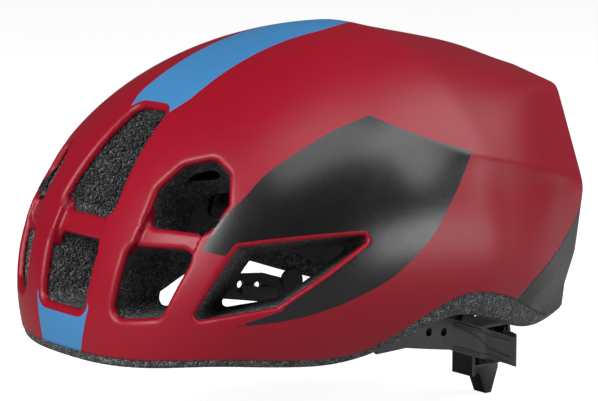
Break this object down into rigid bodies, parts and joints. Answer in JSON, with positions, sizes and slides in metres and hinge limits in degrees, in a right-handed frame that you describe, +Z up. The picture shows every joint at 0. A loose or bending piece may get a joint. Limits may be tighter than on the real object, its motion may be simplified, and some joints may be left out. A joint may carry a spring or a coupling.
{
  "type": "cycling helmet",
  "caption": "Vented in-mould road cycling helmet with a truncated tail, foam liner, tucked webbing straps and a dial-tightened nape cradle.",
  "frame": {"origin": "on the median plane at the height of the brow rim, midway along the head opening (the head mount)", "axes": "+Z up towards the crown, -Y towards the brow, +X to the wearer's left"},
  "size_m": [0.2168, 0.2718, 0.1945],
  "materials": {
    "shell_red": "satin",
    "shell_black": "gloss",
    "foam": "matte",
    "black_plastic": "satin",
    "pad_fabric": "matte",
    "hook_tape": "matte",
    "webbing": "matte",
    "grip_rubber": "matte",
    "steel": "satin"
  },
  "bodies": {
    "helmet": {"outer_shell": "shell_red", "tail_shell": "shell_black", "eps_liner": "foam", "headband": "black_plastic", "headband_plugs": "black_plastic", "brow_pad": "pad_fabric", "crown_pad": "pad_fabric", "side_pad_left": "pad_fabric", "side_pad_right": "pad_fabric", "pad_hook_dots": "hook_tape", "front_strap_left": "webbing", "front_strap_right": "webbing", "rear_strap_left": "webbing", "rear_strap_right": "webbing", "chin_strap_left": "webbing", "chin_strap_right": "webbing", "strap_anchors": "black_plastic", "buckle_socket": "black_plastic", "buckle_plug": "black_plastic", "divider_left": "black_plastic", "divider_right": "black_plastic", "mast_clip": "black_plastic"},
    "cradle": {"cradle_front": "black_plastic", "cradle_rear": "black_plastic", "cradle_mast": "black_plastic", "nape_prop": "black_plastic"},
    "dial_drive": {"pinion": "black_plastic", "dial": "black_plastic", "dial_grip": "grip_rubber", "dial_screw": "steel"},
    "band_left": {"arm_left": "black_plastic", "arm_pad_left": "pad_fabric"},
    "band_right": {"arm_right": "black_plastic", "arm_pad_right": "pad_fabric"},
    "cam_left": {"divider_lever_left": "black_plastic"},
    "cam_right": {"divider_lever_right": "black_plastic"}
  },
  "joints": [
    {"name": "height_adjust", "type": "slide", "parent": "helmet", "child": "cradle", "axis": [0, 0, 1], "range_m": [-0.01, 0.005]},
    {"name": "dial_turn", "type": "hinge", "parent": "cradle", "child": "dial_drive", "pos_m": [0, 0.114, -0.03], "axis": [0, 0, -1], "range_deg": [0, 100]},
    {"name": "band_slide_left", "type": "slide", "parent": "cradle", "child": "band_left", "axis": [-1, 0, 0], "range_m": [0, 0.00873]},
    {"name": "band_slide_right", "type": "slide", "parent": "cradle", "child": "band_right", "axis": [1, 0, 0], "range_m": [0, 0.00873]},
    {"name": "cam_open_left", "type": "hinge", "parent": "helmet", "child": "cam_left", "pos_m": [0.05893, 0.004, 0.049], "axis": [0, 1, 0], "range_deg": [0, 100]},
    {"name": "cam_open_right", "type": "hinge", "parent": "helmet", "child": "cam_right", "pos_m": [-0.05893, 0.004, 0.049], "axis": [0, -1, 0], "range_deg": [0, 100]}
  ],
  "couplings": [
    {"joint": "dial_turn", "follows": "band_slide_left", "rad_per_m": 200},
    {"joint": "band_slide_right", "follows": "band_slide_left", "ratio": 1}
  ]
}
